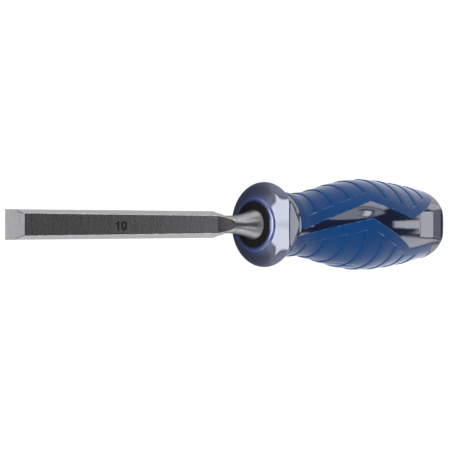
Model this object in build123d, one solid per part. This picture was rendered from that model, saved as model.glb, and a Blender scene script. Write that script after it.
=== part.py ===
from build123d import *
import os
from math import cos, radians, tan

# A bevel-edge wood chisel, 10 mm wide, with a moulded two-material handle.
# Millimetres. The origin is the middle of the cutting edge, on the flat back.
# +X runs along the tool to its butt and +Z out of the blade's bevelled side.
# Each piece is drawn about the handle's axis and lifted to its place at the end.

axis_height = 1.7            # of the handle's axis above the blade's flat back

# Blade: a flat-backed bar with bevelled long edges
blade_width = 10.0
shoulder_width = 9.85
back_z = -axis_height
edge_thickness = 3.0         # at the end of the cutting bevel
shoulder_thickness = 3.4
cutting_bevel_angle = 28.0
side_land = 1.7              # upright side left below each long 45 degree bevel
shoulder_x = 91.5
shoulder_end_x = 97.5

# Neck, bolster and tang, forged in one with the blade
neck_radius = 3.4
tongue_start_x, tongue_end_x = 92.0, 100.4     # the top face runs out on the neck
heel_start_x, heel_end_x = 92.5, 97.5          # and so does the flat back
bolster_radius = 5.95
bolster_front_x = 111.7
bolster_foot = 2.0
tang_end_x = 176.0
tang_square = 6.6
tang_tip_square = 4.6
notch_depth, notch_width = 0.6, 5.0
notches_x = (128.0, 144.0, 160.0)

# Washer round the bolster
washer_radius = 8.83
washer_thickness = 3.0

# Hard handle: a beaded lip, a flared guard, a waist, a belly and a rounded butt
lip_front_x, lip_radius = 112.0, 10.6
lip_crease_x = 113.4
guard_x, guard_radius = 117.8, 16.5
guard_front = ((114.4, 13.0), (115.6, 15.5))
guard_cut = (                # side view of the facet and the flat on top of the guard
    (113.4, 20.0), (113.4, 10.75), (117.6, 14.0), (124.5, 13.4), (124.5, 20.0),
)
handle_line = (
    (120.9, 14.7), (124.5, 13.1), (128.0, 12.7), (132.5, 12.4), (137.0, 12.55),
    (144.0, 13.7), (152.0, 15.5), (160.0, 17.2), (168.0, 18.4), (176.0, 18.78),
    (184.0, 18.45), (192.0, 17.75), (200.0, 16.85), (207.0, 15.85), (213.3, 14.9),
)
butt_edge = 3.2
butt_x = handle_line[-1][0] + butt_edge
flat_line = (                # side view of the cut that leaves the butt's two flats
    (193.5, 20.0), (193.5, 17.6), (194.6, 16.8), (205.5, 15.2), (213.0, 13.5), (218.0, 12.1),
    (218.0, 20.0),
)

# Soft panels, let into the hard handle and standing a little proud of it
grip_thickness = 2.2
grip_proud = 0.2
upper_front_x, lower_front_x = 125.2, 123.6
grip_rear = ((205.0, 16.6), (207.0, 13.9), (210.6, 9.9), (212.4, 5.5), (213.0, 0.0))   # side view
window_upper = ((120.0, -4.4), (164.0, 9.5), (188.3, 2.2), (201.6, 6.9), (214.0, 12.2))
window_lower = ((120.0, -5.3), (162.8, 2.7), (168.2, 0.1), (190.4, -10.0), (214.0, -6.8))

# Saw-tooth ribs on the panels
rib_pitch = 9.5
rib_ramp = 7.4
rib_depth = 0.45
rib_margin = 4.5             # plain border left beside each window
upper_ribs = (135.5, 8)      # first rib's foot, count
lower_ribs = (131.2, 9)

over = 30.0                  # more than the handle's radius, for cutters
turn = Rot(180, 0, 0)        # the handle is the same on its underside
seam_up = Rot(90, 0, 0)      # turned faces close on +Z, clear of the grooves' seams


def outline(*points):
    """A closed flat face through straight-sided points in XY."""
    return make_face(Polyline(*points, close=True))


def side_cutter(points, half_width=over):
    """A prism along Y from points in XZ."""
    face = make_face(Plane.XZ * Polyline(*points, close=True))
    return extrude(face, half_width, both=True)


def make_bar():
    """The bar: its side view and its plan met, then bevelled and drawn in at the shoulders."""
    rise = tan(radians(cutting_bevel_angle))
    bar = side_cutter((
        (0, back_z), (edge_thickness / rise, back_z + edge_thickness),
        (tongue_end_x, back_z + shoulder_thickness), (tongue_end_x, back_z),
    ))
    tip, root = blade_width / 2, shoulder_width / 2
    plan = outline((0, tip), (tongue_end_x, root), (tongue_end_x, -root), (0, -tip))
    bar &= extrude(plan, over, both=True)
    land_z = back_z + side_land
    for side in (1, -1):
        corner = Plane.YZ * Polyline(
            (side * tip, land_z), (side * (tip - over), land_z + over), (side * tip, land_z + over),
            close=True,
        )
        bar -= extrude(make_face(corner), tongue_end_x, dir=(1, 0, 0))
    half = shoulder_width / 2
    for side in (1, -1):
        edge = Spline(
            (shoulder_x, side * half), (shoulder_x + 2.4, side * (neck_radius + 0.6)),
            (shoulder_end_x, side * (neck_radius - 0.15)),
        )
        rest = Polyline(
            (shoulder_end_x, side * (neck_radius - 0.15)),
            (tongue_end_x + 1, side * (neck_radius - 0.15)),
            (tongue_end_x + 1, side * over), (shoulder_x, side * over), (shoulder_x, side * half),
        )
        bar -= extrude(make_face(edge + rest), over, both=True)
    return bar


def make_neck():
    """The turned neck flaring to the bolster, cut away to meet both faces of the bar."""
    with BuildSketch() as sketch:
        with BuildLine():
            Polyline((shoulder_x + 1, 0), (shoulder_x + 1, neck_radius), (tongue_end_x, neck_radius))
            Spline(
                (tongue_end_x, neck_radius), (103.5, neck_radius + 0.25), (107.5, neck_radius + 1.05),
                (bolster_front_x, bolster_radius), tangents=((1, 0), (1, 0.55)),
            )
            foot_x = bolster_front_x + bolster_foot
            Polyline(
                (bolster_front_x, bolster_radius), (foot_x, bolster_radius), (foot_x, 0),
                (shoulder_x + 1, 0),
            )
        make_face()
    neck = revolve(sketch.sketch, Axis.X)
    top, reach = back_z + shoulder_thickness, 8.0
    neck -= side_cutter((
        (shoulder_x, top), (tongue_start_x, top), (tongue_end_x, neck_radius),
        (tongue_end_x, reach), (shoulder_x, reach),
    ))
    neck -= side_cutter((
        (shoulder_x, back_z), (heel_start_x, back_z), (heel_end_x, -neck_radius),
        (heel_end_x, -reach), (shoulder_x, -reach),
    ))
    return neck


def make_tang():
    """A tapered square spike, notched on both sides to hold in the moulding."""
    start = bolster_front_x + bolster_foot
    wide = Plane.YZ.offset(start) * Rectangle(tang_square, tang_square)
    narrow = Plane.YZ.offset(tang_end_x) * Rectangle(tang_tip_square, tang_tip_square)
    tang = loft([wide, narrow], ruled=True)
    for x in notches_x:
        taper = (x - start) / (tang_end_x - start)
        half = (tang_square + (tang_tip_square - tang_square) * taper) / 2
        for side in (1, -1):
            tang -= Pos(x, side * (half - notch_depth + over / 2), 0) * Box(notch_width, over, over)
    return tang


def make_blade():
    return make_bar() + make_neck() + make_tang()


def handle_solid(proud=0.0):
    """The whole handle as one turned body, raised by proud behind the guard."""
    line = [(x, r + proud) for x, r in handle_line]
    flank = line[-1]
    rim = (butt_x, flank[1] - butt_edge)
    bead = lip_crease_x - lip_front_x
    lip = (lip_front_x, lip_radius - bead)
    with BuildSketch() as sketch:
        with BuildLine():
            Line((lip_front_x, 0), lip)
            RadiusArc(lip, (lip_crease_x, lip_radius), bead)
            Spline((lip_crease_x, lip_radius), *guard_front, (guard_x, guard_radius), *line)
            RadiusArc(flank, rim, butt_edge)
            Polyline(rim, (butt_x, 0), (lip_front_x, 0))
        make_face()
    return seam_up * revolve(sketch.sketch, Axis.X)


def inner_solid():
    """What the panels are moulded onto: the turned body, one grip thickness in."""
    line = [(x, r - grip_thickness) for x, r in handle_line]
    start, end = line[0], line[-1]
    with BuildSketch() as sketch:
        with BuildLine():
            Spline(*line)
            Polyline(end, (end[0], 0), (start[0], 0), start)
        make_face()
    return seam_up * revolve(sketch.sketch, Axis.X)


def window(spread=0.0):
    """The window in the soft grip, widened by spread, on the top and on the underside."""
    slant = spread / cos(radians(17))
    upper = [(x, y + slant) for x, y in window_upper]
    lower = [(x, y - slant) for x, y in window_lower]
    top = extrude(outline(*upper, *reversed(lower)), over)
    return top + turn * top


def panel_band(front_x):
    """Everything between the panels' front edge and their rear edge, bowed in side view."""
    rear = list(grip_rear) + [(x, -z) for x, z in reversed(grip_rear[:-1])]
    high, low = (rear[0][0], over), (rear[-1][0], -over)
    edge = Plane.XZ * (
        Polyline(rear[-1], low, (front_x, -over), (front_x, over), high, rear[0]) + Spline(*rear)
    )
    return extrude(make_face(edge), over, both=True)


def on_side(solids, side):
    """The solids that lie toward +Y (side 1) or -Y (side -1)."""
    return [solid for solid in solids if solid.center().Y * side > 0]


def plain_panel(side, front_x):
    """One soft panel before its ribs: the wall of the handle beside the windows."""
    shell = (handle_solid(grip_proud) - inner_solid()) & panel_band(front_x)
    return on_side((shell - window()).solids(), side)[0]


def panel_radius(x):
    """Outside radius of the soft panels at x."""
    return Spline(*handle_line).intersect(Axis((x, 0, 0), (0, 1, 0)))[0].Y + grip_proud


def rib_grooves(side, first, count):
    """Saw-tooth grooves: each sinks slowly toward the butt and ends in a wall."""
    border = window(rib_margin)
    grooves = []
    for index in range(count):
        foot = first + index * rib_pitch
        start = foot - rib_ramp
        above = max(panel_radius(start), panel_radius(foot)) + 2
        tooth = outline(
            (start, panel_radius(start) + 0.03), (foot, panel_radius(foot) - rib_depth),
            (foot, above), (start, above),
        )
        ring = revolve(tooth, Axis.X)            # its seam is on +Y
        ring = turn * ring if side > 0 else ring
        grooves += on_side((ring - border).solids(), side)
    return grooves


def make_panel(plain, side, ribs):
    panel = plain
    for groove in rib_grooves(side, *ribs):
        panel -= groove
    return panel


def make_washer():
    ring = Circle(washer_radius) - Circle(bolster_radius)
    return extrude(Plane.YZ.offset(bolster_front_x) * ring, washer_thickness)


def make_core(blade, washer, plain_panels):
    """The hard handle round the tang: pockets for the panels, flats on its guard and butt."""
    core = handle_solid() - blade - washer
    for panel in plain_panels:
        core -= panel
    flat = side_cutter(flat_line)
    return core - side_cutter(guard_cut) - flat - turn * flat


blade = make_blade()
washer = make_washer()
upper_plain = plain_panel(1, upper_front_x)
lower_plain = plain_panel(-1, lower_front_x)
parts = {
    "blade": blade,
    "bolster_washer": washer,
    "handle_core": make_core(blade, washer, (upper_plain, lower_plain)),
    "grip_upper": make_panel(upper_plain, 1, upper_ribs),
    "grip_lower": make_panel(lower_plain, -1, lower_ribs),
}

os.makedirs("parts", exist_ok=True)
for name, shape in parts.items():
    placed = Pos(0, 0, axis_height) * shape
    print(name, "solids", len(placed.solids()), "volume", round(placed.volume))
    export_step(placed, f"parts/{name}.step")
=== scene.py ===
# %% [markdown]
# # A bevel-edge chisel with a moulded two-material handle
# A chisel is a ground steel bar with a forged neck and bolster, and a spike that runs on
# into the handle. Round the bolster sits a black washer, then the hard handle with its
# flared guard, and two soft panels are let into the handle's sides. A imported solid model
# fixes the size and the place of each piece. The first step loads it, so that every
# surface made below can be laid over it in the same frame.

# %% Load the fixed frame
import math

import bpy
import numpy as np
from mathutils import Matrix, Vector


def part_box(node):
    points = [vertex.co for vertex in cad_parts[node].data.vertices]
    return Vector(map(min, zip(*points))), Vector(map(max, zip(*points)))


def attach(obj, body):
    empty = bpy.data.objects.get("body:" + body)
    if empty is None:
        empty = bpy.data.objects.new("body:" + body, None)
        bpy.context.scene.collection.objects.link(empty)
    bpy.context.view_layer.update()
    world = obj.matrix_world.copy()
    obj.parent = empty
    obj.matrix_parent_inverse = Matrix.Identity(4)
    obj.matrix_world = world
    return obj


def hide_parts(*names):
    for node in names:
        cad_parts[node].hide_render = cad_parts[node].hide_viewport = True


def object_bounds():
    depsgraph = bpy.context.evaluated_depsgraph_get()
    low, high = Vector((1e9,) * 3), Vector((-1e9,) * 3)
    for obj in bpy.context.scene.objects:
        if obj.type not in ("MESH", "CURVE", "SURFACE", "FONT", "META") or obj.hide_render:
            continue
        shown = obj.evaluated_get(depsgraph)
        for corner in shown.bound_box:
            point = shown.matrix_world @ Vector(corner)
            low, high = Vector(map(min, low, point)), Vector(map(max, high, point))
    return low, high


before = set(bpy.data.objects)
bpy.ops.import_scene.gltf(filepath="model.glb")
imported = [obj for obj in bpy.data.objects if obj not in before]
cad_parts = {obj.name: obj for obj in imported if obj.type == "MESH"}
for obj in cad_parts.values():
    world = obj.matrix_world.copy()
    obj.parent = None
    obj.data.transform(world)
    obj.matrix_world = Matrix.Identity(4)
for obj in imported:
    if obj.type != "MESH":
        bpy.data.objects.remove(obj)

cad_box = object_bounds()
washer_low, washer_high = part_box("bolster_washer")
_, core_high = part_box("handle_core")
print("nodes", sorted(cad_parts))

# %% [markdown]
# ## Working in millimetres about the handle's axis
# A turner measures everything from the middle of the work. The pieces are worked out the
# same way, in millimetres about the handle's axis, and `make_piece` lifts and scales them
# once, at the end. The axis height is read from the washer, which is a plain ring.

# %% Axis, units and the mesh maker
mm = 0.001
axis_height = (washer_low.z + washer_high.z) / 2 / mm
back_z = -axis_height          # the blade's flat back is the frame's z = 0


def make_piece(name, points, faces):
    """A mesh object from points in millimetres about the handle's axis."""
    placed = (np.asarray(points, float).reshape(-1, 3) + (0, 0, axis_height)) * mm
    mesh = bpy.data.meshes.new(name)
    mesh.from_pydata(placed.tolist(), [], [[int(v) for v in face] for face in faces])
    mesh.update()
    piece = bpy.data.objects.new(name, mesh)
    bpy.context.scene.collection.objects.link(piece)
    return piece


def ring_faces(rows, columns, capped=True):
    """Faces of a stack of closed rings, outward when the rings advance along +X."""
    i, j = np.meshgrid(np.arange(rows - 1), np.arange(columns), indexing="ij")
    k = (j + 1) % columns
    quads = np.stack([i * columns + j, (i + 1) * columns + j, (i + 1) * columns + k, i * columns + k], -1)
    faces = quads.reshape(-1, 4).tolist()
    if capped:
        faces.append(list(range(columns)))
        faces.append([(rows - 1) * columns + c for c in range(columns)][::-1])
    return faces


def round_ring(x, r, angles):
    """A ring of points about the axis, its angles running from the +Z side toward +Y."""
    return np.stack([np.full_like(angles, x), r * np.sin(angles), r * np.cos(angles)], -1)


def shade(piece, angle=35):
    """Smooth shading that stays crisp where two faces meet at more than the angle."""
    piece.data.shade_smooth()
    piece.data.set_sharp_from_angle(angle=math.radians(angle))


def mark_points(piece, name, values):
    """One number at each point of a piece, for its material or its node tree to read."""
    layer = piece.data.attributes.new(name, "FLOAT", "POINT")
    layer.data.foreach_set("value", np.asarray(values, np.float32).ravel())


print("axis height", round(axis_height, 3), "mm")

# %% [markdown]
# ## The handle's side view
# A moulded handle has no straight lines along it. Its side view is drawn as one natural
# cubic curve through a few places, the way a flexible batten bends round nails, so there
# is no kink for a reflection to catch on. The guard, the waist and the belly are all on
# that one curve.

# %% Side view of the handle
lip_front_x, lip_radius, lip_crease_x = 112.0, 10.6, 113.4
guard_line = ((lip_crease_x, lip_radius), (114.4, 13.0), (115.6, 15.5), (117.8, 16.5))
handle_line = (
    (120.9, 14.7), (124.5, 13.1), (128.0, 12.7), (132.5, 12.4), (137.0, 12.55),
    (144.0, 13.7), (152.0, 15.5), (160.0, 17.2), (168.0, 18.4), (176.0, 18.78),
    (184.0, 18.45), (192.0, 17.75), (200.0, 16.85), (207.0, 15.85), (213.3, 14.9),
)
butt_edge = 3.2
flank_end_x = handle_line[-1][0]
butt_x = core_high.x / mm


def smooth_curve(points, steps=40):
    """A natural cubic curve through points, its parameter running by chord length."""
    p = np.array(points, float)
    gaps = np.hypot(*np.diff(p, axis=0).T)
    count = len(p)
    system, right = np.zeros((count, count)), np.zeros((count, 2))
    system[0, 0] = system[-1, -1] = 1
    for i in range(1, count - 1):
        system[i, i - 1:i + 2] = gaps[i - 1], 2 * (gaps[i - 1] + gaps[i]), gaps[i]
        right[i] = 6 * ((p[i + 1] - p[i]) / gaps[i] - (p[i] - p[i - 1]) / gaps[i - 1])
    bend = np.linalg.solve(system, right)
    pieces = []
    for i in range(count - 1):
        h = gaps[i]
        s = np.linspace(0, h, steps, endpoint=False)[:, None]
        cubic = (bend[i] * (h - s) ** 3 + bend[i + 1] * s ** 3) / (6 * h)
        pieces.append(
            cubic + (p[i] / h - bend[i] * h / 6) * (h - s) + (p[i + 1] / h - bend[i + 1] * h / 6) * s
        )
    return np.vstack(pieces + [p[-1:]])


side_view = smooth_curve(guard_line + handle_line)


def radius(x):
    """Outside radius of the hard handle at x."""
    return np.interp(x, side_view[:, 0], side_view[:, 1])


belly_x, belly_radius = side_view[side_view[:, 1].argmax()]
print("belly radius", round(float(belly_radius), 2), "mm at x", round(float(belly_x), 1))

# %% [markdown]
# ## Where the soft panels meet the hard handle
# Seen from above, the hard handle shows through a window with zigzag edges, and the same
# window is on the underside, turned half a turn. Each panel fills the side between one
# window and the other. The four borders are given as plan lines and turned into angles
# round the axis. A shift that follows a quarter circle rounds each panel's front corners.

# %% Borders of the windows as angles round the axis
window_upper = ((120.0, -4.4), (164.0, 9.5), (188.3, 2.2), (201.6, 6.9), (214.0, 12.2))
window_lower = ((120.0, -5.3), (162.8, 2.7), (168.2, 0.1), (190.4, -10.0), (214.0, -6.8))
upper_front_x, lower_front_x = 125.2, 123.6
upper_corner, lower_corner = 3.0, 2.2
rear_start_x, rear_top_x, rear_side_x, rear_bow = 203.0, 207.0, 213.4, 6.5
corner_level, most_level = 0.866, 1.06     # height on the unit circle at the panels' rear corners


def border(x, line, half_turns, side, front_x, corner):
    """Angle of one border at x. Side is 1 where its panel lies beyond it, else -1."""
    reach = np.clip(x, line[0][0], flank_end_x)
    plan = np.interp(reach, [p[0] for p in line], [p[1] for p in line])
    into = np.clip(x - front_x, 0, corner)
    rounding = corner - np.sqrt(corner ** 2 - (corner - into) ** 2)
    return half_turns * math.pi + np.arcsin(plan / radius(reach)) + side * rounding / radius(reach)


def borders(x):
    """The four borders at x, and the first one again after a whole turn."""
    lower = border(x, window_lower, 0, -1, lower_front_x, lower_corner)
    return (
        lower,
        border(x, window_upper, 0, 1, upper_front_x, upper_corner),
        border(x, window_lower, 1, -1, upper_front_x, lower_corner),
        border(x, window_upper, 1, 1, lower_front_x, upper_corner),
        lower + 2 * math.pi,
    )


def rear_edge(angle):
    """The panels end further back at the sides of the handle than near its top."""
    level = np.minimum(np.abs(np.cos(angle)) / corner_level, most_level)
    return rear_side_x - rear_bow * level ** 3


def bent_station(station, angle):
    """Stations run straight to rear_start_x, then bow to follow the panels' rear edge."""
    edge = rear_edge(angle)
    near = rear_start_x + (station - rear_start_x) * (edge - rear_start_x) / (rear_top_x - rear_start_x)
    past = edge + (station - rear_top_x) * (flank_end_x - edge) / (flank_end_x - rear_top_x)
    bent = np.where(station <= rear_top_x, near, past)
    return np.where((station <= rear_start_x) | (station >= flank_end_x), station, bent)


# Angles depend on x and the bent x on the angles, so the two are worked out in turn.
settling_rounds = 12


def lay_out(stations, strip, share, offset):
    """x and angle of a grid whose rows follow the stations and columns the borders."""
    station = np.repeat(np.asarray(stations, float)[:, None], len(strip), axis=1)
    x = station.copy()
    column = np.arange(len(strip))
    for _ in range(settling_rounds):
        lines = np.stack(borders(x))
        start, end = lines[strip, :, column].T, lines[strip + 1, :, column].T
        angle = start + share * (end - start) + offset / radius(x)
        x = bent_station(station, angle)
    return x, angle


# %% [markdown]
# ## Node groups for the finishes
# A finish is never one flat colour. `fine_grain` is the tiny unevenness that a mould or a
# blasted surface leaves, and `handled_edges` turns a point's nearness to an edge into the
# patchy wear that use leaves there. Each is built once and placed in every material that
# needs it, with its own values. `grinding_lines` is what a wheel leaves on the blade.

# %% Node helpers and the shared groups
def add_node(tree, kind, inputs=(), **settings):
    """A node with its settings made and its inputs set or linked."""
    node = tree.nodes.new(kind)
    for name, value in settings.items():
        setattr(node, name, value)
    for socket, value in dict(inputs).items():
        if isinstance(value, bpy.types.NodeSocket):
            tree.links.new(value, node.inputs[socket])
        else:
            node.inputs[socket].default_value = value
    return node


def blend_values(tree, factor, low, high):
    """Low where the factor is 0 and high where it is 1."""
    node = add_node(tree, "ShaderNodeMapRange", {"Value": factor, "To Min": low, "To Max": high})
    return node.outputs["Result"]


def blend_colours(tree, factor, first, second):
    """The first colour where the factor is 0 and the second where it is 1."""
    node = tree.nodes.new("ShaderNodeMix")
    node.data_type = "RGBA"
    for socket, value in ((node.inputs[0], factor), (node.inputs[6], first), (node.inputs[7], second)):
        if isinstance(value, bpy.types.NodeSocket):
            tree.links.new(value, socket)
        else:
            socket.default_value = value
    return node.outputs[2]


def calculate(tree, operation, first, second=0.0, clamp=False):
    """One sum on two numbers or sockets."""
    node = add_node(tree, "ShaderNodeMath", {0: first, 1: second}, operation=operation)
    node.use_clamp = clamp
    return node.outputs[0]


def new_group(name, inputs, outputs):
    """A shader node group with named inputs, their starting values, and outputs."""
    group = bpy.data.node_groups.new(name, "ShaderNodeTree")
    for title, kind, value in inputs:
        socket = group.interface.new_socket(title, in_out="INPUT", socket_type=kind)
        if value is not None:
            socket.default_value = value
    for title, kind in outputs:
        group.interface.new_socket(title, in_out="OUTPUT", socket_type=kind)
    return group, group.nodes.new("NodeGroupInput"), group.nodes.new("NodeGroupOutput")


def build_fine_grain():
    """Small unevenness at two sizes: a fine one and a cloudy one."""
    group, given, result = new_group(
        "fine_grain",
        (("Vector", "NodeSocketVector", None), ("Grain", "NodeSocketFloat", 3000.0),
         ("Cloud", "NodeSocketFloat", 120.0)),
        (("Height", "NodeSocketFloat"), ("Cloudiness", "NodeSocketFloat")),
    )
    fine = add_node(group, "ShaderNodeTexNoise", {
        "Vector": given.outputs["Vector"], "Scale": given.outputs["Grain"], "Detail": 2.0, "Roughness": 0.6,
    })
    cloud = add_node(group, "ShaderNodeTexNoise", {
        "Vector": given.outputs["Vector"], "Scale": given.outputs["Cloud"], "Detail": 4.0, "Roughness": 0.55,
    })
    group.links.new(fine.outputs["Fac"], result.inputs["Height"])
    group.links.new(cloud.outputs["Fac"], result.inputs["Cloudiness"])
    return group


def build_handled_edges():
    """Patchy wear where the edge value is high."""
    group, given, result = new_group(
        "handled_edges",
        (("Vector", "NodeSocketVector", None), ("Edge", "NodeSocketFloat", 0.0),
         ("Patch size", "NodeSocketFloat", 400.0), ("Amount", "NodeSocketFloat", 0.5)),
        (("Wear", "NodeSocketFloat"),),
    )
    patches = add_node(group, "ShaderNodeTexNoise", {
        "Vector": given.outputs["Vector"], "Scale": given.outputs["Patch size"], "Detail": 5.0,
    })
    reach = calculate(group, "MULTIPLY", given.outputs["Edge"], given.outputs["Amount"])
    summed = calculate(group, "ADD", patches.outputs["Fac"], reach)
    worn = add_node(group, "ShaderNodeMapRange", {"Value": summed, "From Min": 0.72, "From Max": 0.95})
    group.links.new(worn.outputs["Result"], result.inputs["Wear"])
    return group


def build_grinding_lines():
    """Fine scratches across the blade, with the soft bands that a wheel's passes leave."""
    group, given, result = new_group(
        "grinding_lines",
        (("Vector", "NodeSocketVector", None), ("Lines", "NodeSocketFloat", 5200.0),
         ("Bands", "NodeSocketFloat", 260.0)),
        (("Lines", "NodeSocketFloat"), ("Bands", "NodeSocketFloat")),
    )
    for title, detail in (("Lines", 3.0), ("Bands", 2.0)):
        stretch = add_node(group, "ShaderNodeCombineXYZ", {
            "X": given.outputs[title],
            "Y": calculate(group, "MULTIPLY", given.outputs[title], 0.035),
            "Z": calculate(group, "MULTIPLY", given.outputs[title], 0.035),
        })
        spread = add_node(group, "ShaderNodeVectorMath", {
            0: given.outputs["Vector"], 1: stretch.outputs[0],
        }, operation="MULTIPLY")
        noise = add_node(group, "ShaderNodeTexNoise", {
            "Vector": spread.outputs[0], "Scale": 1.0, "Detail": detail, "Roughness": 0.65,
        })
        group.links.new(noise.outputs["Fac"], result.inputs[title])
    return group


fine_grain = build_fine_grain()
handled_edges = build_handled_edges()
grinding_lines = build_grinding_lines()


def placed_group(tree, group, inputs):
    """A group placed in a material, with its inputs set or linked."""
    return add_node(tree, "ShaderNodeGroup", inputs, node_tree=group)


def point_value(tree, name):
    """The number that mark_points left on the piece under this name."""
    return add_node(tree, "ShaderNodeAttribute", (), attribute_name=name).outputs["Fac"]


def new_finish(name):
    """A material with its tree, its shader and object coordinates."""
    finish = bpy.data.materials.new(name)
    finish.use_nodes = True
    tree = finish.node_tree
    shader = tree.nodes["Principled BSDF"]
    place = tree.nodes.new("ShaderNodeTexCoord").outputs["Object"]
    return finish, tree, shader, place


def connect_bump(tree, shader, height, distance, strength):
    """Bump of a height in metres."""
    bump = add_node(tree, "ShaderNodeBump", {"Height": height, "Distance": distance, "Strength": strength})
    tree.links.new(bump.outputs["Normal"], shader.inputs["Normal"])


# %% [markdown]
# ## Ground steel
# The bar is ground flat across its width, so its scratches run from side to side and the
# wheel leaves soft bands of slightly different grey. The neck is only tumbled after
# forging: satin and mottled, with no direction. One material does both. The `forged`
# value on the blade's points says how far a place is from the ground bar to the neck.
# The `flat` value picks out the flats, which are painted a shade lighter than the bevels
# of the same steel: painted light, which sets how bright each face comes out.

# %% Steel of the blade
def make_ground_steel():
    finish, tree, shader, place = new_finish("ground_steel")
    lines = placed_group(tree, grinding_lines, {"Vector": place})
    grain = placed_group(tree, fine_grain, {"Vector": place, "Grain": 2600.0, "Cloud": 420.0})
    forged = point_value(tree, "forged")
    edge = point_value(tree, "edge")
    flat = point_value(tree, "flat")
    wear = placed_group(tree, handled_edges, {"Vector": place, "Edge": edge, "Amount": 0.4}).outputs["Wear"]
    banded = calculate(tree, "ADD", calculate(tree, "MULTIPLY", lines.outputs["Bands"], 0.6),
                       calculate(tree, "MULTIPLY", lines.outputs["Lines"], 0.4))
    spread = add_node(tree, "ShaderNodeMapRange", {"Value": banded, "From Min": 0.33, "From Max": 0.67})
    # Painted light: the flats get a lighter grey than the bevels, though both are the same ground steel.
    bevels = blend_colours(tree, spread.outputs[0], (0.43, 0.432, 0.435, 1), (0.47, 0.472, 0.475, 1))
    flats_painted_lighter = blend_colours(tree, spread.outputs[0], (0.455, 0.457, 0.46, 1), (0.49, 0.491, 0.495, 1))
    ground = blend_colours(tree, flat, bevels, flats_painted_lighter)
    mottled = blend_colours(tree, grain.outputs["Height"], (0.27, 0.27, 0.272, 1), (0.48, 0.48, 0.48, 1))
    colour = blend_colours(tree, calculate(tree, "SUBTRACT", forged, flat, clamp=True), ground, mottled)
    tree.links.new(blend_colours(tree, wear, colour, (0.74, 0.74, 0.75, 1)), shader.inputs["Base Color"])
    ground_rough = blend_values(tree, lines.outputs["Lines"], 0.20, 0.32)
    forged_rough = blend_values(tree, grain.outputs["Cloudiness"], 0.22, 0.38)
    rough = add_node(tree, "ShaderNodeMix", {0: forged, 2: ground_rough, 3: forged_rough})
    tree.links.new(rough.outputs[0], shader.inputs["Roughness"])
    relief = add_node(tree, "ShaderNodeMix", {
        0: forged, 2: lines.outputs["Lines"], 3: grain.outputs["Height"],
    })
    connect_bump(tree, shader, relief.outputs[0], 0.000006, 0.1)
    shader.inputs["Metallic"].default_value = 1.0
    return finish


ground_steel = make_ground_steel()
print("material", ground_steel.name)

# %% [markdown]
# ## Hard plastic, soft panels, washer and etched mark
# The hard handle is a dark navy plastic polished by its mould, so it mirrors the studio
# like dark glass, with the mould's faint waves and duller places where hands rub it. A
# brighter blue is painted on the lip, the guard's edge and the butt's rim: painted light,
# standing in for light shining through the thin plastic there. The soft panels are a
# rubbery blue whose sheen pales it where it turns away. The washer is plain black rubber.
# The size mark is dull black oxide, which an etching pad leaves.

# %% Plastics and the mark
def make_polished_navy():
    finish, tree, shader, place = new_finish("polished_navy")
    grain = placed_group(tree, fine_grain, {"Vector": place, "Grain": 1400.0, "Cloud": 70.0})
    edge = point_value(tree, "edge")
    wear = placed_group(tree, handled_edges, {"Vector": place, "Edge": edge, "Amount": 0.3}).outputs["Wear"]
    cloudiness = grain.outputs["Cloudiness"]
    deep = blend_colours(tree, cloudiness, (0.004, 0.006, 0.022, 1), (0.007, 0.011, 0.036, 1))
    # Painted light: a brighter blue on the lip, the guard's edge and the butt's rim stands in for light
    # shining through the thin plastic there.
    rim = blend_colours(tree, edge, deep, (0.008, 0.028, 0.140, 1))
    tree.links.new(blend_colours(tree, wear, rim, (0.045, 0.055, 0.10, 1)), shader.inputs["Base Color"])
    scuffed = calculate(tree, "ADD", blend_values(tree, cloudiness, 0.03, 0.11),
                        calculate(tree, "MULTIPLY", wear, 0.15))
    tree.links.new(scuffed, shader.inputs["Roughness"])
    waves = add_node(tree, "ShaderNodeTexNoise", {"Vector": place, "Scale": 190.0, "Detail": 1.5})
    fine = calculate(tree, "MULTIPLY", grain.outputs["Height"], 0.05)
    height = calculate(tree, "ADD", waves.outputs["Fac"], fine)
    connect_bump(tree, shader, height, 0.00008, 0.35)
    shader.inputs["IOR"].default_value = 2.2
    shader.inputs["Specular Tint"].default_value = (0.90, 0.92, 1.0, 1)
    return finish


def make_soft_blue():
    finish, tree, shader, place = new_finish("soft_blue")
    grain = placed_group(tree, fine_grain, {"Vector": place, "Grain": 4200.0, "Cloud": 55.0})
    border_far = point_value(tree, "border")
    edge_band = add_node(tree, "ShaderNodeMapRange", {
        "Value": border_far, "From Min": 0.0, "From Max": 0.0012, "To Min": 1.0, "To Max": 0.0,
    }).outputs[0]
    wear = placed_group(tree, handled_edges, {
        "Vector": place, "Edge": edge_band, "Amount": 0.3, "Patch size": 700.0,
    }).outputs["Wear"]
    cloudiness = grain.outputs["Cloudiness"]
    body = blend_colours(tree, cloudiness, (0.0005, 0.030, 0.114, 1), (0.0012, 0.036, 0.132, 1))
    lip = point_value(tree, "lip")
    rubbed_colour = blend_colours(tree, wear, body, (0.03, 0.10, 0.26, 1))
    # Painted highlight: a paler blue where each rib's sunk ramp meets the plain border, for the light that
    # the short wall there catches.
    painted_rib_highlight = calculate(tree, "MULTIPLY", lip, 0.55)
    colour = blend_colours(tree, painted_rib_highlight, rubbed_colour, (0.13, 0.24, 0.45, 1))
    tree.links.new(colour, shader.inputs["Base Color"])
    tree.links.new(blend_values(tree, grain.outputs["Height"], 0.42, 0.60), shader.inputs["Roughness"])
    connect_bump(tree, shader, grain.outputs["Height"], 0.00003, 0.5)
    shader.inputs["Specular IOR Level"].default_value = 0.10
    shader.inputs["Sheen Weight"].default_value = 0.8
    shader.inputs["Sheen Roughness"].default_value = 0.3
    shader.inputs["Sheen Tint"].default_value = (0.86, 0.90, 1.0, 1)
    return finish


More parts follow.
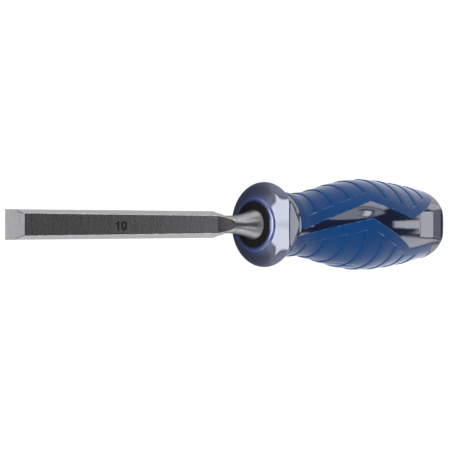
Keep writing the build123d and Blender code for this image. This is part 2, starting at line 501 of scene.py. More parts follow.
def make_black_rubber():
    finish, tree, shader, place = new_finish("black_rubber")
    grain = placed_group(tree, fine_grain, {"Vector": place, "Grain": 3600.0, "Cloud": 260.0})
    cloudiness = grain.outputs["Cloudiness"]
    colour = blend_colours(tree, cloudiness, (0.004, 0.004, 0.004, 1), (0.009, 0.009, 0.009, 1))
    tree.links.new(colour, shader.inputs["Base Color"])
    tree.links.new(blend_values(tree, grain.outputs["Height"], 0.5, 0.72), shader.inputs["Roughness"])
    connect_bump(tree, shader, grain.outputs["Height"], 0.00003, 0.5)
    shader.inputs["Specular IOR Level"].default_value = 0.03
    return finish


def make_etched_black():
    finish, tree, shader, place = new_finish("etched_black")
    grain = placed_group(tree, fine_grain, {"Vector": place, "Grain": 5000.0, "Cloud": 900.0})
    cloudiness = grain.outputs["Cloudiness"]
    colour = blend_colours(tree, cloudiness, (0.004, 0.004, 0.005, 1), (0.014, 0.014, 0.015, 1))
    tree.links.new(colour, shader.inputs["Base Color"])
    tree.links.new(blend_values(tree, grain.outputs["Height"], 0.55, 0.8), shader.inputs["Roughness"])
    shader.inputs["Specular IOR Level"].default_value = 0.08
    return finish


polished_navy = make_polished_navy()
soft_blue = make_soft_blue()
black_rubber = make_black_rubber()
etched_black = make_etched_black()
print("materials", [finish.name for finish in (polished_navy, soft_blue, black_rubber, etched_black)])

# %% [markdown]
# ## The blade
# A grinder starts from a flat bar and takes away: a long 45 degree bevel on each edge,
# shoulders that draw the bar in, and the cutting bevel. Each cross section is therefore
# what is left inside a few flat cuts, and in the neck also inside a circle. The section
# is worked out in polar form: at each angle the nearest cut wins. A high power instead
# of a plain minimum eases every edge by a few hundredths, as a stone would.

# %% Cuts of the blade, along its length
blade_half, shoulder_half = 5.0, 4.925
edge_thickness, full_thickness, side_land = 3.0, 3.4, 1.7
bevel_rise = math.tan(math.radians(28))
bevel_end_x = edge_thickness / bevel_rise
shoulder_x, tongue_start_x, tongue_x, heel_x = 91.5, 92.0, 100.0, 97.5
neck_radius, bolster_radius, bolster_x, foot_x = 3.4, 5.95, 111.7, 113.7
tang_x, tang_half, tang_tip_half = 176.0, 3.3, 2.3
notches_x, notch_depth, notch_width = (128.0, 144.0, 160.0), 0.6, 5.0
shoulder_curve = smooth_curve(((91.5, 4.925), (94.0, 4.0), (96.0, 3.56), (97.5, 3.36), (101.0, 3.3)))
neck_curve = smooth_curve(((100.4, 3.4), (103.5, 3.65), (107.5, 4.45), (110.0, 5.2), (111.7, 5.95)))
tongue_width = ((91.5, 3.22), (94.5, 2.85), (98.0, 2.25))
far_away = 60.0
power = 70


def top_of_bar(x):
    """Height of the upper face above the handle's axis: bevel, flat, then the tongue's rise."""
    bar = back_z + np.interp(x, (bevel_end_x, tongue_x), (edge_thickness, full_thickness))
    bevel = back_z + 0.02 + x * bevel_rise
    level = back_z + full_thickness
    rise = np.clip((x - tongue_start_x) / (tongue_x - tongue_start_x), 0, 1.2)
    tongue = level + (neck_radius + 0.03 - level) * rise ** 1.5
    tongue = np.where(x > tongue_x + 0.4, far_away, tongue)
    return np.where(x < tongue_start_x, np.minimum(bar, bevel), tongue)


def under_of_bar(x):
    """Depth of the flat back below the axis, until the heel lets the neck go round."""
    return np.interp(x, (92.5, heel_x, heel_x + 0.5), (-back_z, neck_radius, far_away))


def half_width(x):
    bar = np.interp(x, (0, tongue_x), (blade_half, shoulder_half))
    drawn = np.interp(x, shoulder_curve[:, 0], shoulder_curve[:, 1])
    narrow = np.where(x < shoulder_x, bar, drawn)
    return np.where(x > tongue_x, np.interp(x, (tongue_x, tongue_x + 0.5), (3.4, far_away)), narrow)


def round_limit(x):
    """Radius of the turned neck, which is far outside the bar."""
    taper = np.interp(x, (shoulder_x, 95.5), (7.0, neck_radius))
    neck = np.interp(x, neck_curve[:, 0], neck_curve[:, 1])
    return np.where(x < 95.5, taper, neck)


def land_height(x):
    """Where the long bevel meets the side: it climbs, so that the tongue keeps its width."""
    inner = np.interp(x, [p[0] for p in tongue_width], [p[1] for p in tongue_width])
    return np.where(x < shoulder_x, back_z + side_land, inner + top_of_bar(x) - half_width(x))


def cuts_at(x):
    """Each cut of the section at x: its direction in the section and its distance."""
    top, under, half = top_of_bar(x), under_of_bar(x), half_width(x)
    land = land_height(x)
    reach = (half + land) / math.sqrt(2)
    middle = np.where(x < 92, (top + back_z) / 2, 0)
    slant = 1 / math.sqrt(2)
    return middle, (
        ((0, 1), top - middle), ((0, -1), under + middle), ((1, 0), half), ((-1, 0), half),
        ((slant, slant), reach - middle * slant), ((-slant, slant), reach - middle * slant),
    )


# %% [markdown]
# The columns of the blade's mesh start at the corners of the section, so that the long
# edges are true lines and not steps. Rows crowd together where the shape turns.

# %% Mesh of the blade
def corner_angles(x):
    """Angles of the section's six corners, from the +Z side toward +Y and round."""
    middle, _ = cuts_at(x)
    top, under, half = top_of_bar(x), under_of_bar(x), half_width(x)
    top, half, under = min(top, neck_radius), min(half, shoulder_half + 0.1), min(under, neck_radius)
    land = float(min(land_height(x), top - 0.005))
    round_chord = math.sqrt(max(float(round_limit(x)) ** 2 - top ** 2, 0))
    inner = max(min(half - 0.02, half + land - top, round_chord if x > shoulder_x else half), 0.4)
    right = [math.atan2(inner, top - middle), math.atan2(half, land - middle),
             math.atan2(half, -under - middle)]
    return right + [2 * math.pi - angle for angle in reversed(right)]


def section(x, columns):
    """The ring of points at x."""
    corners = corner_angles(x)
    starts = corners[-1:] + corners
    starts[0] -= 2 * math.pi
    angles = np.concatenate([
        np.linspace(starts[i], starts[i + 1], columns[i], endpoint=False) for i in range(6)
    ])
    middle, cuts = cuts_at(np.float64(x))
    total = (1 / float(round_limit(x))) ** power * np.ones_like(angles) if x > shoulder_x else 0
    for (across, up), distance in cuts:
        facing = np.maximum(np.sin(angles) * across + np.cos(angles) * up, 0)
        total = total + (facing / float(distance)) ** power
    points = round_ring(x, total ** (-1 / power), angles)
    points[:, 2] += middle
    return points, angles


def square_ring(x, half, angles):
    """A ring on the square tang."""
    return round_ring(x, half / np.maximum(np.abs(np.sin(angles)), np.abs(np.cos(angles))), angles)


def notched(points, x):
    """Cuts the tang's two side notches into a ring."""
    taper = np.interp(x, (foot_x, tang_x), (tang_half, tang_tip_half))
    points[:, 1] = np.clip(points[:, 1], -(taper - notch_depth), taper - notch_depth)
    return points


def make_blade():
    columns = (44, 26, 26, 40, 26, 26)
    stations = np.concatenate([
        (0.0, 0.4, 1.2, 2.2, 3.1, 3.3, 4.2, 5.0, bevel_end_x - 0.06, bevel_end_x + 0.06, 5.9),
        np.arange(7, 91, 3.0), np.arange(91.0, 101.2, 0.14), np.arange(101.2, bolster_x, 0.3), (bolster_x,),
    ])
    rings, angle_rows = [], []
    for x in stations:
        points, angles = section(x, columns)
        rings.append(points)
        angle_rows.append(angles)
    even = angle_rows[-1]
    rings += [round_ring(foot_x - 0.1, bolster_radius, even), round_ring(foot_x, bolster_radius - 0.1, even)]
    tang_stations = [(foot_x, False)]
    for x in notches_x:
        low, high = x - notch_width / 2, x + notch_width / 2
        tang_stations += [(low, False), (low, True), (high, True), (high, False)]
    for x, cut in tang_stations + [(tang_x, False)]:
        ring = square_ring(x, float(np.interp(x, (foot_x, tang_x), (tang_half, tang_tip_half))), even)
        rings.append(notched(ring, x) if cut else ring)
    points = np.stack(rings)
    piece = make_piece("chisel_blade", points, ring_faces(len(rings), sum(columns)))
    x, y, z = points[..., 0], points[..., 1], points[..., 2]
    mark_points(piece, "forged", np.clip((x - 91.5) / 3.0, 0, 1))
    half, top = half_width(x), top_of_bar(x)
    corner = np.minimum.reduce([
        np.hypot(half - np.abs(y), z - back_z), np.hypot(half - np.abs(y), z - back_z - side_land),
        np.hypot(half + back_z + side_land - top - np.abs(y), z - top),
    ])
    mark_points(piece, "edge", np.where(x < shoulder_x, np.clip(1 - corner / 0.25, 0, 1), 0))
    column = np.arange(sum(columns))
    first_back = sum(columns[:3])
    on_top = (column > 0) & (column < columns[0])
    on_back = (column > first_back) & (column < first_back + columns[3])
    on_flat = (on_top | on_back)[None, :] & (x > bevel_end_x - 0.01) & (x < tongue_x)
    # The flat value marks the top and back flats, which the steel paints a shade lighter than the bevels:
    # painted light.
    mark_points(piece, "flat", np.where(on_flat, 1.0, 0.0))
    shade(piece, 20)
    return piece


chisel_blade = make_blade()
print("blade", len(chisel_blade.data.polygons), "faces")

# %% [markdown]
# ## The size mark
# The blade's width in millimetres is etched on its flat. A stencil cutter would draw each
# digit as closed lines, and so does this step: a flat curve with a hole for the nought.
# The filled curve is turned to a mesh first, and then laid a hundredth of a millimetre
# proud of the sloping flat. Nothing else is written on the tool.

# %% Size mark
mark_x, mark_y, mark_height = 45.8, -0.4, 3.2
one = ((0.50, 0), (0.50, 1), (0.31, 1), (0.24, 0.88), (0.02, 0.78), (0.02, 0.62), (0.26, 0.70), (0.26, 0))


def oval(left, width, height, corners=36, squareness=2.4):
    """A rounded outline standing on the line, centred in height."""
    turn = np.linspace(0, 2 * math.pi, corners, endpoint=False)
    across = np.sign(np.cos(turn)) * np.abs(np.cos(turn)) ** (2 / squareness)
    up = np.sign(np.sin(turn)) * np.abs(np.sin(turn)) ** (2 / squareness)
    return [(left + width / 2 * (1 + a), 0.5 + height / 2 * b) for a, b in zip(across, up)]


def make_size_mark():
    curve = bpy.data.curves.new("size_mark", "CURVE")
    curve.dimensions, curve.fill_mode, curve.extrude = "2D", "BOTH", 0.01
    for outline in (one, oval(0.80, 0.79, 1.0), oval(1.05, 0.29, 0.66)):
        line = curve.splines.new("POLY")
        line.points.add(len(outline) - 1)
        for point, (across, up) in zip(line.points, outline):
            point.co = (across, up, 0, 1)
        line.use_cyclic_u = True
    drawn = bpy.data.objects.new("size_mark_outline", curve)
    bpy.context.scene.collection.objects.link(drawn)
    bpy.context.view_layer.update()
    mesh = bpy.data.meshes.new_from_object(drawn.evaluated_get(bpy.context.evaluated_depsgraph_get()))
    bpy.data.objects.remove(drawn)
    co = np.array([v.co for v in mesh.vertices])
    centre = (co.min(0) + co.max(0))[:2] / 2
    flat = (co[:, :2] - centre) * mark_height + (mark_x, mark_y)
    level = np.where(co[:, 2] > 0, 0.012, -0.02)
    placed = np.stack([flat[:, 0], flat[:, 1], top_of_bar(flat[:, 0]) + level + axis_height], -1) * mm
    mesh.vertices.foreach_set("co", placed.astype(np.float32).ravel())
    mesh.materials.clear()
    mesh.update()
    mark = bpy.data.objects.new("size_mark", mesh)
    bpy.context.scene.collection.objects.link(mark)
    return mark


size_mark = make_size_mark()
print("size mark", len(size_mark.data.polygons), "faces")

# %% [markdown]
# ## The washer
# The washer takes the shock between bolster and handle. It is a moulded ring with eased
# corners, and it shows as a black band between the steel and the lip of the handle.

# %% Washer round the bolster
def turned_ring(name, profile, columns=192):
    """A closed ring turned from a closed outline of (x, radius), wound outward."""
    angle = np.linspace(0, 2 * math.pi, columns, endpoint=False)
    points = np.stack([round_ring(x, r, angle) for x, r in profile])
    rows = len(profile)
    faces = ring_faces(rows, columns, capped=False)
    last = (rows - 1) * columns
    faces += [[last + c, c, (c + 1) % columns, last + (c + 1) % columns] for c in range(columns)]
    return make_piece(name, points, faces)


def make_washer():
    outer = (washer_high.z - washer_low.z) / 2 / mm
    front, rear = washer_low.x / mm, washer_high.x / mm
    ease, dish = 0.3, 0.12
    inner = bolster_radius + 0.01
    corner = [(front + ease * (1 - math.sin(a)), outer - ease * (1 - math.cos(a)))
              for a in np.radians((90, 60, 30, 0))]
    profile = [(front + 0.25, inner), (front + 0.06, inner + 0.12), (front + dish, (inner + outer) / 2)]
    profile += corner + [(rear, outer), (rear, inner)]
    return turned_ring("bolster_washer_rubber", profile)


washer = make_washer()
shade(washer, 40)
print("washer", len(washer.data.polygons), "faces")

# %% [markdown]
# ## The hard handle
# The handle is moulded round the tang in one shot, with a shallow pocket for each soft
# panel. Its mesh is one stack of closed rings: from the bottom of the tang's hole, out
# over the washer's seat, round the lip, over the guard and along the handle to the butt.
# The columns follow the windows' borders, so a pocket's wall lies between two columns
# and is as crisp as the mould would leave it. Last, flats are planed off the top of the
# guard, and off the top and the underside of the butt.

# %% Stations and columns of the handle
pocket_depth, wall = 1.6, 0.03
guard_top, guard_crest_x, guard_top_x = 14.0, 117.8, 117.4
guard_flat = ((guard_top_x, guard_top), (121.0, 13.75), (123.6, 13.4), (124.5, 13.4))
flat_line = ((193.5, 17.6), (194.6, 16.8), (205.5, 15.2), (213.0, 13.5), (218.0, 12.1))
facet_edge, facet_blend = 0.94, 0.5     # where the facet ends, as height on the unit circle
guard_ease, plane_ease = 0.35, 0.05
lip_middle_x, guard_edge_x, butt_rim_x = 112.8, 117.3, 215.6     # where the finish shows wear and a painted blue glow


def quarter(start, length, steps=10):
    """Stations crowded toward the start, as a quarter circle needs them."""
    return start + length * (1 - np.cos(np.linspace(0, math.pi / 2, steps)))


def outer_stations():
    kinks = [p[0] for p in window_upper + window_lower if 120 < p[0] < 205]
    parts = [
        np.linspace(lip_crease_x, 117.3, 30), np.linspace(117.34, 123.4, 34), np.arange(124.0, 203.0, 0.6),
        kinks, (guard_top_x,),
        quarter(lower_front_x, upper_corner), quarter(upper_front_x, upper_corner),
        (lower_front_x + wall, upper_front_x + wall), np.linspace(193.5, 194.6, 8),
        np.linspace(rear_start_x, rear_top_x - wall, 12), np.linspace(rear_top_x, flank_end_x, 14),
    ]
    stations = np.unique(np.round(np.concatenate(parts), 4))
    keep = np.concatenate([[True], np.diff(stations) > 0.012])
    return stations[keep]


def handle_columns(window_count=36, panel_count=60):
    """Which strip each column is in, its share of the way across, and its set-off."""
    strip, share, offset = [], [], []
    for index in range(4):
        across = np.linspace(0, 1, window_count if index % 2 == 0 else panel_count)[:-1]
        if index % 2:
            across = np.concatenate([(0, 0), across[1:], (1,)])
            off = [0, wall] + [0] * (len(across) - 3) + [-wall]
        else:
            off = [0] * len(across)
        strip += [index] * len(across)
        share += list(across)
        offset += off
    return np.array(strip), np.array(share), np.array(offset, float)


def eased(value, ease):
    """The value where it is above nought and nothing below, with the turn eased."""
    return ease * np.logaddexp(0, value / ease)


def guard_radius(x, angle):
    """The guard's front is a round cone, but flatter and lower over its top."""
    level = np.cos(angle)
    height = guard_top / np.maximum(level, 0.3)
    crest_r = float(radius(guard_crest_x))
    crest = crest_r - eased(crest_r - height, guard_ease)
    turned = (radius(x) - lip_radius) / (crest_r - lip_radius)
    straight = np.clip((x - lip_crease_x) / (guard_top_x - lip_crease_x), 0, 1)
    side = np.clip((facet_edge - level) / facet_blend, 0, 1)
    side = side * side * (3 - 2 * side)
    front = lip_radius + (crest - lip_radius) * (straight + (turned - straight) * side)
    return np.where((x < guard_crest_x) & (level > 0), front, radius(x))


def planed(points):
    """Takes the flat off the top of the guard, and the butt's flats off above and below."""
    x, z = points[..., 0], points[..., 2]
    butt = np.interp(x, [p[0] for p in flat_line], [p[1] for p in flat_line])
    butt = np.where(x < flat_line[0][0], far_away, butt)
    guard = np.interp(x, [p[0] for p in guard_flat], [p[1] for p in guard_flat])
    guard = np.where((x < guard_top_x) | (x > guard_flat[-1][0]), far_away, guard)
    for limit, side in ((np.minimum(butt, guard), 1), (butt, -1)):
        z = z - side * eased(side * z - limit, plane_ease)
    points[..., 2] = z
    return points


# %% Mesh of the handle
def band(x, middle, width):
    """1 at the middle of a band, falling smoothly to nothing on both sides."""
    return np.exp(-((x - middle) / width) ** 2)


def make_handle():
    strip, share, offset = handle_columns()
    stations = outer_stations()
    x, angle = lay_out(stations, strip, share, offset)
    inside = ((strip % 2 == 1) & ((offset != 0) | (share > 0) & (share < 1)))[None, :]
    front = np.where(strip == 1, upper_front_x, lower_front_x)[None, :]
    station = stations[:, None]
    pocket = inside & (station > front + wall / 2) & (station < rear_top_x - wall / 2)
    r = guard_radius(x, angle) - np.where(pocket, pocket_depth, 0)
    outer = np.stack([x, r * np.sin(angle), r * np.cos(angle)], -1)
    first, last = angle[0], angle[-1]
    seat_x, seat_r = washer_high.x / mm, (washer_high.z - washer_low.z) / 2 / mm
    bead = lip_crease_x - lip_front_x
    clearance = 0.02
    rings = [
        square_ring(tang_x, tang_tip_half + clearance, first),
        square_ring(foot_x, tang_half + clearance, first),
        round_ring(foot_x, bolster_radius, first), round_ring(seat_x, bolster_radius, first),
        round_ring(seat_x, seat_r, first), round_ring(lip_front_x + 0.12, seat_r, first),
        round_ring(lip_front_x, seat_r + 0.12, first),
    ]
    for a in np.radians(np.linspace(0, 84, 10)):
        r = lip_radius - bead * (1 - math.sin(a))
        rings.append(round_ring(lip_crease_x - bead * math.cos(a), r, first))
    lip_rows = len(rings)
    rings += list(outer)
    flank_r = float(radius(flank_end_x))
    for a in np.radians(np.linspace(9, 90, 10)):
        r = flank_r - butt_edge * (1 - math.cos(a))
        rings.append(round_ring(flank_end_x + butt_edge * math.sin(a), r, last))
    for r_in in (8.5, 5.0, 1.5):
        rings.append(round_ring(butt_x, r_in, last))
    points = np.stack(rings)
    points[lip_rows:] = planed(points[lip_rows:])
    piece = make_piece("handle_shell", points, ring_faces(len(rings), len(strip)))
    along = points[..., 0]
    reach = np.hypot(points[..., 1], points[..., 2])
    # These bands mark wear, and also the painted blue glow on the lip, the guard's edge and the butt's rim.
    edge_band = band(along, lip_middle_x, 0.8) + 0.4 * band(along, guard_edge_x, 0.9)
    rim = band(along, butt_rim_x, 0.9) * (reach > 10)
    mark_points(piece, "edge", np.clip(edge_band + rim, 0, 1))
    shade(piece, 32)
    return piece


handle_shell = make_handle()
print("handle", len(handle_shell.data.polygons), "faces")

# %% [markdown]
# ## The soft panels
# Each panel is a curved slab, a little proud of the hard handle, with its edges rolled
# over. It is laid out on the same stations and borders as its pocket. Its rows crowd
# where a rib's wall will stand, so that the next step can cut the ribs cleanly.

# %% Blank panels
proud, slab, rolled = 0.19, 1.5, 0.35
rib_pitch, rib_ramp, rib_depth, rib_margin = 9.5, 7.4, 0.45, 4.5
wall_half, clear_of_wall = 0.05, 0.2
rolled_steps = np.array((0.0, 0.04, 0.1, 0.18, 0.28, 0.4))
far_in = 40.0


def panel_stations(front_x, first_foot, count):
    feet = first_foot + rib_pitch * np.arange(count)
    kinks = [p[0] for p in window_upper + window_lower if p[0] > 130]
    parts = [
        quarter(front_x, upper_corner, 12), front_x + rolled_steps,
        np.arange(front_x + 3.2, rear_start_x, 0.55),
        feet - wall_half, feet + wall_half, feet - rib_ramp, kinks,
        np.linspace(rear_start_x, rear_top_x - 0.3, 10), rear_top_x - rolled_steps / 2,
    ]
    stations = np.unique(np.round(np.concatenate(parts), 4))
    stations = stations[(stations >= front_x) & (stations <= rear_top_x)]
    near_wall = np.abs(stations[:, None] - feet[None, :]).min(1)
    stations = stations[(near_wall > clear_of_wall) | (np.abs(near_wall - wall_half) < 0.002)]
    keep = np.concatenate([[True], np.diff(stations) > 0.02])
    return stations[keep]


def panel_columns(middle=96):
    further = (0.9, 1.6, 2.4, 3.2, 4.0, rib_margin - wall_half, rib_margin + wall_half)
    edge = np.concatenate([rolled_steps, further])
    across = np.linspace(0, 1, middle + 2)[1:-1]
    share = np.concatenate([np.zeros(len(edge)), across, np.ones(len(edge))])
    inset = rib_margin + wall_half
    offset = np.concatenate([edge, inset * (1 - 2 * across), -edge[::-1]])
    return share, offset


def edge_distance(x, angle, strip_index, front_x, offset):
    """How far each point is from its panel's nearest edge, round corners included."""
    lines = np.stack(borders(np.maximum(x, front_x + upper_corner + 0.01)))
    size = radius(x)
    from_start, from_end = (angle - lines[strip_index]) * size, (lines[strip_index + 1] - angle) * size
    ahead, behind = x - front_x, rear_edge(angle) - x
    near = np.minimum(from_start, from_end)
    corner = np.where(from_start < from_end, upper_corner, lower_corner)
    in_corner = (ahead < corner) & (near < corner)
    rounded = corner - np.hypot(corner - ahead, corner - near)
    distance = np.minimum(np.where(in_corner, rounded, np.minimum(ahead, near)), behind)
    # The offsets of the middle columns pass through nought too, so this limit also leaves
    # a shallow groove along the panel's middle line. It is a known fault of the shape.
    return np.minimum(distance, np.where(np.abs(offset) > rolled, far_in, np.abs(offset))[None, :])


def make_panel(name, strip_index, front_x, first_foot, count):
    share, offset = panel_columns()
    strip = np.full(len(share), strip_index)
    stations = panel_stations(front_x, first_foot, count)
    x, angle = lay_out(stations, strip, share, offset)
    size = radius(x)
    inward = np.clip(edge_distance(x, angle, strip_index, front_x, offset), 0, rolled)
    drop = rolled - np.sqrt(np.maximum(rolled ** 2 - (rolled - inward) ** 2, 0))
    top = size + proud - drop
    low = size - slab
    rings = np.concatenate([
        np.stack([x, top * np.sin(angle), top * np.cos(angle)], -1),
        np.stack([x, low * np.sin(angle), low * np.cos(angle)], -1)[:, ::-1],
    ], axis=1)
    rows, half = x.shape
    columns = 2 * half
    faces = ring_faces(rows, columns, capped=False)
    last = (rows - 1) * columns
    for c in range(half - 1):
        faces.append([c, c + 1, columns - 2 - c, columns - 1 - c])
        faces.append([last + c + 1, last + c, last + columns - 1 - c, last + columns - 2 - c])
    piece = make_piece(name, rings, faces)
    in_border = ((share == 0) | (share == 1)) & (np.abs(offset) < rib_margin)
    border_distance = np.where(in_border, np.abs(offset), far_in)
    outside = np.tile(np.concatenate([border_distance, np.zeros(half)]), (rows, 1))
    mark_points(piece, "border", outside * mm)
    mark_points(piece, "station", np.tile(stations[:, None], (1, columns)) * mm)
    return piece


# %% [markdown]
# ## Cutting the ribs with a node tree
# The ribs repeat, so a Geometry Nodes tree makes them all. From each point's station it
# works out how far into a tooth the point lies, then sinks it toward the axis: nothing
# at the start of the ramp, the full depth at its foot, and back to the surface just past
# it. A plain border is left along the windows, and `lip` marks where the border ends at a
# rib. There the finish paints a paler blue: a painted highlight, for the light that the
# short wall between ramp and border catches. The sizes are the tree's named inputs.

# %% Tree of the saw-tooth ribs
lip_half = 0.1


def build_rib_tree():
    tree = bpy.data.node_groups.new("saw_tooth_ribs", "GeometryNodeTree")
    face = tree.interface
    face.new_socket("Geometry", in_out="INPUT", socket_type="NodeSocketGeometry")
    for title in ("Pitch", "Ramp", "Depth", "First foot", "Plain border", "Axis height"):
        face.new_socket(title, in_out="INPUT", socket_type="NodeSocketFloat")
    face.new_socket("Count", in_out="INPUT", socket_type="NodeSocketInt")
    face.new_socket("Material", in_out="INPUT", socket_type="NodeSocketMaterial")
    face.new_socket("Geometry", in_out="OUTPUT", socket_type="NodeSocketGeometry")
    given, result = tree.nodes.new("NodeGroupInput"), tree.nodes.new("NodeGroupOutput")

    def named(title):
        node = tree.nodes.new("GeometryNodeInputNamedAttribute")
        node.data_type = "FLOAT"
        node.inputs["Name"].default_value = title
        return node.outputs["Attribute"]

    start = calculate(tree, "SUBTRACT", given.outputs["First foot"], given.outputs["Ramp"])
    along = calculate(tree, "SUBTRACT", named("station"), start)
    tooth = calculate(tree, "DIVIDE", along, given.outputs["Pitch"])
    index = calculate(tree, "FLOOR", tooth)
    into = calculate(tree, "MULTIPLY", calculate(tree, "SUBTRACT", tooth, index), given.outputs["Pitch"])
    slope = calculate(tree, "DIVIDE", into, given.outputs["Ramp"])
    on_ramp = calculate(tree, "LESS_THAN", slope, 1.0)
    started = calculate(tree, "GREATER_THAN", index, -0.5)
    counted = calculate(tree, "LESS_THAN", index, calculate(tree, "SUBTRACT", given.outputs["Count"], 0.5))
    clear = calculate(tree, "GREATER_THAN", named("border"), given.outputs["Plain border"])
    sink = calculate(tree, "MULTIPLY", slope, given.outputs["Depth"])
    for mask in (on_ramp, started, counted, clear):
        sink = calculate(tree, "MULTIPLY", sink, mask)
    # The lip value marks where the painted highlight goes: the end of each rib's ramp at the plain border,
    # strongest where the ramp is deepest.
    beyond = calculate(tree, "SUBTRACT", named("border"), given.outputs["Plain border"])
    lip = calculate(tree, "LESS_THAN", calculate(tree, "ABSOLUTE", beyond), lip_half * mm)
    for mask in (on_ramp, started, counted, slope, slope):
        lip = calculate(tree, "MULTIPLY", lip, mask)
    position = tree.nodes.new("GeometryNodeInputPosition").outputs["Position"]
    place = add_node(tree, "ShaderNodeSeparateXYZ", {0: position})
    above_axis = calculate(tree, "SUBTRACT", place.outputs["Z"], given.outputs["Axis height"])
    radial = add_node(tree, "ShaderNodeCombineXYZ", {"Y": place.outputs["Y"], "Z": above_axis})
    outward = add_node(tree, "ShaderNodeVectorMath", {0: radial.outputs[0]}, operation="NORMALIZE")
    shift = add_node(tree, "ShaderNodeVectorMath", {
        0: outward.outputs[0], "Scale": calculate(tree, "MULTIPLY", sink, -1.0),
    }, operation="SCALE")
    marked = add_node(tree, "GeometryNodeStoreNamedAttribute", {
        "Geometry": given.outputs["Geometry"], "Name": "lip", "Value": lip,
    }, data_type="FLOAT", domain="POINT")
    moved = add_node(tree, "GeometryNodeSetPosition", {
        "Geometry": marked.outputs[0], "Offset": shift.outputs[0],
    })
    whole = add_node(tree, "GeometryNodeRealizeInstances", {"Geometry": moved.outputs[0]})
    dressed = add_node(tree, "GeometryNodeSetMaterial", {
        "Geometry": whole.outputs[0], "Material": given.outputs["Material"],
    })
    tree.links.new(dressed.outputs[0], result.inputs["Geometry"])
    return tree


rib_tree = build_rib_tree()


def cut_ribs(piece, first_foot, count):
    """Runs the tree on a blank panel and keeps the plain mesh that comes out."""
    modifier = piece.modifiers.new("ribs", "NODES")
    modifier.node_group = rib_tree
    sizes = {
        "Pitch": rib_pitch * mm, "Ramp": rib_ramp * mm, "Depth": rib_depth * mm,
        "First foot": first_foot * mm, "Plain border": rib_margin * mm,
        "Axis height": axis_height * mm, "Count": count, "Material": soft_blue,
    }
    for item in rib_tree.interface.items_tree:
        if item.in_out == "INPUT" and item.name in sizes:
            modifier[item.identifier] = sizes[item.name]
    mesh = bpy.data.meshes.new_from_object(piece.evaluated_get(bpy.context.evaluated_depsgraph_get()))
    piece.modifiers.clear()
    piece.data = mesh
    shade(piece, 28)
    return piece


upper_ribs, lower_ribs = (135.5, 8), (131.2, 9)
grip_upper = cut_ribs(make_panel("grip_panel_upper", 1, upper_front_x, *upper_ribs), *upper_ribs)
grip_lower = cut_ribs(make_panel("grip_panel_lower", 3, lower_front_x, *lower_ribs), *lower_ribs)
print("panels", len(grip_upper.data.polygons), "and", len(grip_lower.data.polygons), "faces")

# %% [markdown]
# ## Dressing the pieces and tying them to the frame
# Every visible piece gets its finish, rides on the one rigid body, and stands for the
# plain solid that it was built over. The mark rides on the same body.

# %% Materials and places in the frame
dressed_pieces = (
    (chisel_blade, ground_steel, "blade", "blade_steel"),
    (washer, black_rubber, "bolster_washer", "washer_plastic"),
    (handle_shell, polished_navy, "handle_core", "core_plastic"),
    (grip_upper, soft_blue, "grip_upper", "soft_grip"),
    (grip_lower, soft_blue, "grip_lower", "soft_grip"),
)
for piece, finish, node, slot in dressed_pieces:
    piece.data.materials.clear()
    piece.data.materials.append(finish)
    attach(piece, "root")
    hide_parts(node)
size_mark.data.materials.append(etched_black)
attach(size_mark, "root")
print("pieces", [piece.name for piece, *_ in dressed_pieces] + [size_mark.name])

# %% [markdown]
# ## Floor and studio light
# Polished plastic and ground steel show mostly what surrounds them, so the studio is a
# soft tent of light: pale all round, with dark gaps behind and above the butt, lamps and
# pale panels between them, and a large soft box beyond the cutting edge. The floor is
# plain and pale. What it gives to the reflections is dimmer close to the guard, as where
# the tool shades its own table, and brighter further off.

# %% Floor
def make_floor():
    low, reach = cad_box[0].z, 6.0
    corners = [(-reach, -reach, low), (reach, -reach, low), (reach, reach, low), (-reach, reach, low)]
    mesh = bpy.data.meshes.new("floor")
    mesh.from_pydata(corners, [], [(0, 1, 2, 3)])
    floor = bpy.data.objects.new("floor", mesh)
    bpy.context.scene.collection.objects.link(floor)
    paint = bpy.data.materials.new("pale_floor")
    paint.use_nodes = True
    tree = paint.node_tree
    shader = tree.nodes["Principled BSDF"]
    shader.inputs["Base Color"].default_value = (0.12, 0.12, 0.12, 1)
    shader.inputs["Roughness"].default_value = 0.9
    shader.inputs["Specular IOR Level"].default_value = 0.0
    shader.inputs["Emission Color"].default_value = (1, 1, 1, 1)
    seen = tree.nodes.new("ShaderNodeLightPath").outputs["Is Camera Ray"]
    place = tree.nodes.new("ShaderNodeTexCoord").outputs["Object"]
    away = add_node(tree, "ShaderNodeVectorMath", {0: place, 1: (0.105, 0, 0)}, operation="DISTANCE")
    glow = add_node(tree, "ShaderNodeMapRange", {
        "Value": away.outputs["Value"], "From Min": 0.025, "From Max": 0.09,
        "To Min": 0.02, "To Max": 0.85,
    }).outputs["Result"]
    tree.links.new(blend_values(tree, seen, glow, 0.95), shader.inputs["Emission Strength"])
    mesh.materials.append(paint)
    return floor


floor = make_floor()
print("floor at", round(cad_box[0].z / mm, 2), "mm")

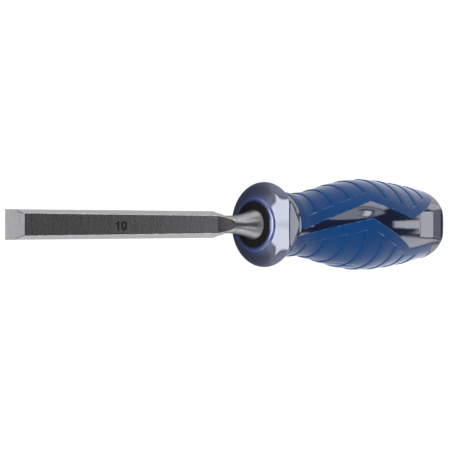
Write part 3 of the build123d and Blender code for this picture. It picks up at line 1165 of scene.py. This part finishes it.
# %% Light tent
def make_tent():
    """The surroundings by direction: azimuth from +X toward +Y, and height above level."""
    world = bpy.data.worlds.new("light_tent")
    bpy.context.scene.world = world
    world.use_nodes = True
    tree = world.node_tree
    background = tree.nodes["Background"]
    away = tree.nodes.new("ShaderNodeTexCoord").outputs["Generated"]
    parts = add_node(tree, "ShaderNodeSeparateXYZ", {0: away})
    height = calculate(tree, "ARCSINE", parts.outputs["Z"])
    heading = calculate(tree, "ARCTAN2", parts.outputs["Y"], parts.outputs["X"])

    def window_of_light(centre, half, soft, lean):
        """1 inside a box of directions, with soft edges. A lean shears it as it climbs."""
        climb = calculate(tree, "SUBTRACT", height, math.radians(centre[1]))
        leaning = calculate(tree, "ADD", heading, calculate(tree, "MULTIPLY", climb, lean))
        aside = add_node(tree, "ShaderNodeMath", {
            0: calculate(tree, "SUBTRACT", leaning, math.radians(centre[0])), 1: math.pi, 2: -math.pi,
        }, operation="WRAP").outputs[0]
        mask = 1.0
        for off, reach in ((aside, half[0]), (climb, half[1])):
            edge = add_node(tree, "ShaderNodeMapRange", {
                "Value": calculate(tree, "ABSOLUTE", off), "From Min": math.radians(reach - soft),
                "From Max": math.radians(reach + soft), "To Min": 1.0, "To Max": 0.0,
            }, interpolation_type="SMOOTHSTEP").outputs["Result"]
            mask = calculate(tree, "MULTIPLY", mask, edge)
        return mask

    level = blend_values(tree, parts.outputs["Z"], 0.66, 0.44)
    for centre, half, soft, lean, strength in (
        ((97, 10), (34, 17), 8, 0, 1.25),      # side boxes
        ((-97, 10), (34, 17), 8, 0, 1.25),
        ((0, 57), (76, 30), 6, 0, 0.03),       # dark gap behind, high
        ((0, 12), (23, 20), 4, 0, 0.06),       # and low
        ((51, 52), (24, 12), 2, 0, 1.15),      # pale panels high on both sides
        ((-52, 52), (22, 12), 3, 0, 1.0),
        ((47, 24), (15, 14), 3, 0, 1.7),       # boxes behind, to both sides
        ((-41, 17), (22, 11), 3, 0, 1.7),
        ((23, 5), (8, 6), 2, 0, 1.5),
        ((0, 10), (14, 3), 1.5, 0, 0.5),       # low glow behind
        ((0, 31), (6.5, 9), 2, 0, 2.1),        # spill of the lamp behind
        ((0, 19), (14, 5), 2.5, 0, 2.0),       # lamp behind
        ((38, 50), (6, 6.5), 1, 1, 0.03),      # dark rim of the small lamp
        ((38, 51), (3.2, 4.5), 1, 1, 3.6),     # small lamp above
        ((180, 74), (70, 10), 4, 0, 0.22),     # dim gap over the cutting edge
        ((180, 30), (40, 28.5), 6, 0, 5.0),      # soft box beyond the cutting edge
    ):
        mask = window_of_light(centre, half, soft, lean)
        node = add_node(tree, "ShaderNodeMix", {0: mask, 2: level, 3: strength})
        level = node.outputs[0]
    tree.links.new(level, background.inputs["Strength"])
    background.inputs["Color"].default_value = (0.97, 0.975, 1.0, 1)
    plain = add_node(tree, "ShaderNodeBackground", {"Color": (1, 1, 1, 1), "Strength": 1.0})
    seen = tree.nodes.new("ShaderNodeLightPath").outputs["Is Camera Ray"]
    mixed = add_node(tree, "ShaderNodeMixShader", {0: seen, 1: background.outputs[0], 2: plain.outputs[0]})
    tree.links.new(mixed.outputs[0], tree.nodes["World Output"].inputs["Surface"])


make_tent()
bpy.context.scene.view_settings.view_transform = "Standard"
print("world", bpy.context.scene.world.name)

# %% [markdown]
# ## The camera
# The camera stands beyond the cutting edge and looks down along the tool at 44 degrees,
# with a longish lens, so that the near end is only a little larger than the far one.

# %% Camera
def make_camera(tilt=43.8, place=(-231.68, 0.0, 344.22), lens=101.28):
    camera = bpy.data.objects.new("camera", bpy.data.cameras.new("camera"))
    bpy.context.scene.collection.objects.link(camera)
    camera.data.sensor_width = 36.0
    camera.data.lens = lens
    c, s = math.cos(math.radians(tilt)), math.sin(math.radians(tilt))
    right, up, back = Vector((c, 0, s)), Vector((0, 1, 0)), Vector((-s, 0, c))
    turn = Matrix((right, up, back)).transposed().to_4x4()
    camera.matrix_world = Matrix.Translation(Vector(place) * mm) @ turn
    camera.data.clip_start, camera.data.clip_end = 0.01, 50
    bpy.context.scene.camera = camera
    return camera


camera = make_camera()
print("camera lens", round(camera.data.lens, 2), "mm")

# %% [markdown]
# ## Sizes written down
# The box of the solid model is written out, in millimetres.

# %% Sizes and finish
print("cad", [round(v / mm, 2) for corner in cad_box for v in corner])
